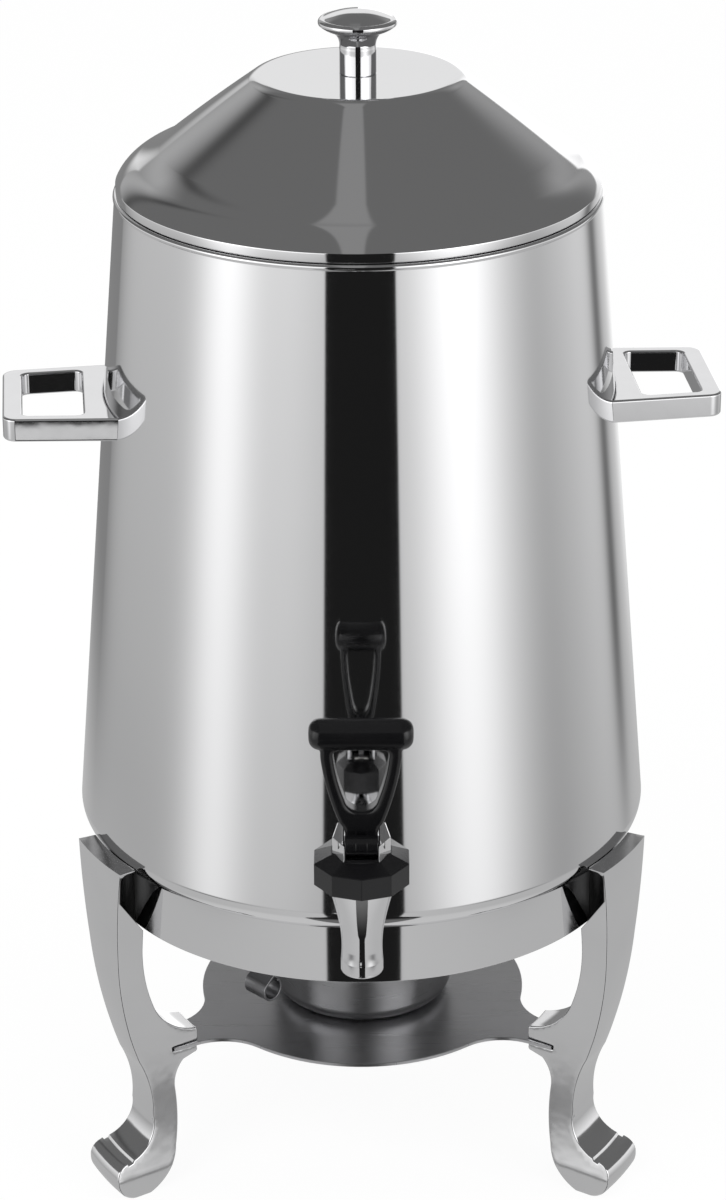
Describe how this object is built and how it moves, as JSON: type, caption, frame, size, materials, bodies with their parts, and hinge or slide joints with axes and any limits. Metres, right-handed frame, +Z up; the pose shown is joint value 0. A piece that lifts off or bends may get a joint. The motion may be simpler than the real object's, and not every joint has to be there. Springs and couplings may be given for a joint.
{
  "type": "coffee urn",
  "caption": "Tapered metal coffee urn with a domed lid, side loop handles and a lever tap, standing on a three-legged stand with a burner tray and covered fuel cup.",
  "frame": {"origin": "middle of the base of the box round the whole object, on the surface that the feet stand on", "axes": "+Z up, the tap faces -Y, one handle on +X and one on -X"},
  "size_m": [0.36, 0.3848, 0.6139],
  "materials": {
    "polished_steel": "polished",
    "cast_metal": "polished",
    "satin_steel": "brushed",
    "fastener_steel": "satin",
    "tap_chrome": "polished",
    "black_plastic": "gloss",
    "soft_seal": "matte"
  },
  "bodies": {
    "stand": {"stand_ring": "polished_steel", "leg_left": "cast_metal", "leg_right": "cast_metal", "leg_rear": "cast_metal", "leg_screws": "fastener_steel", "fuel_tray": "satin_steel"},
    "fuel_holder": {"fuel_cup": "satin_steel", "cover_rivet": "fastener_steel"},
    "cover": {"fuel_cup_cover": "satin_steel", "cover_handle": "satin_steel"},
    "urn": {"body_shell": "polished_steel", "body_base": "satin_steel", "left_handle": "cast_metal", "right_handle": "cast_metal", "handle_washers": "fastener_steel", "handle_screws": "fastener_steel", "tap_body": "tap_chrome", "tap_outer_seal": "soft_seal", "tap_inner_seal": "soft_seal", "tap_nut": "fastener_steel", "tap_bonnet": "black_plastic", "lever_yoke": "tap_chrome", "lever_pin": "fastener_steel", "tap_spring": "fastener_steel"},
    "lid": {"lid_shell": "polished_steel", "lid_knob": "cast_metal", "knob_washer": "fastener_steel", "knob_screw": "fastener_steel"},
    "lever": {"tap_lever": "black_plastic", "stem_pin": "fastener_steel"},
    "valve": {"valve_stem": "fastener_steel", "seat_cup": "soft_seal"}
  },
  "joints": [
    {"name": "urn_lift", "type": "slide", "parent": "stand", "child": "urn", "axis": [0, 0, 1], "range_m": [0, 0.08]},
    {"name": "fuel_slide", "type": "slide", "parent": "stand", "child": "fuel_holder", "axis": [0, -1, 0], "range_m": [0, 0.14]},
    {"name": "cover_swing", "type": "hinge", "parent": "fuel_holder", "child": "cover", "pos_m": [0.0367, 0.0707, 0.1282], "axis": [0, 0, -1], "range_deg": [0, 100]},
    {"name": "lid_lift", "type": "slide", "parent": "urn", "child": "lid", "axis": [0, 0, 1], "range_m": [0, 0.15]},
    {"name": "lever_pull", "type": "hinge", "parent": "urn", "child": "lever", "pos_m": [0, -0.176, 0.2734], "axis": [1, 0, 0], "range_deg": [0, 35], "stiffness_Nm_per_rad": 0.25, "springref_deg": -11.46},
    {"name": "valve_lift", "type": "slide", "parent": "urn", "child": "valve", "axis": [0, 0, 1], "range_m": [0, 0.0041], "deforming": ["tap_spring"]}
  ],
  "couplings": [
    {"joint": "valve_lift", "follows": "lever_pull", "m_per_rad": 0.00657}
  ]
}
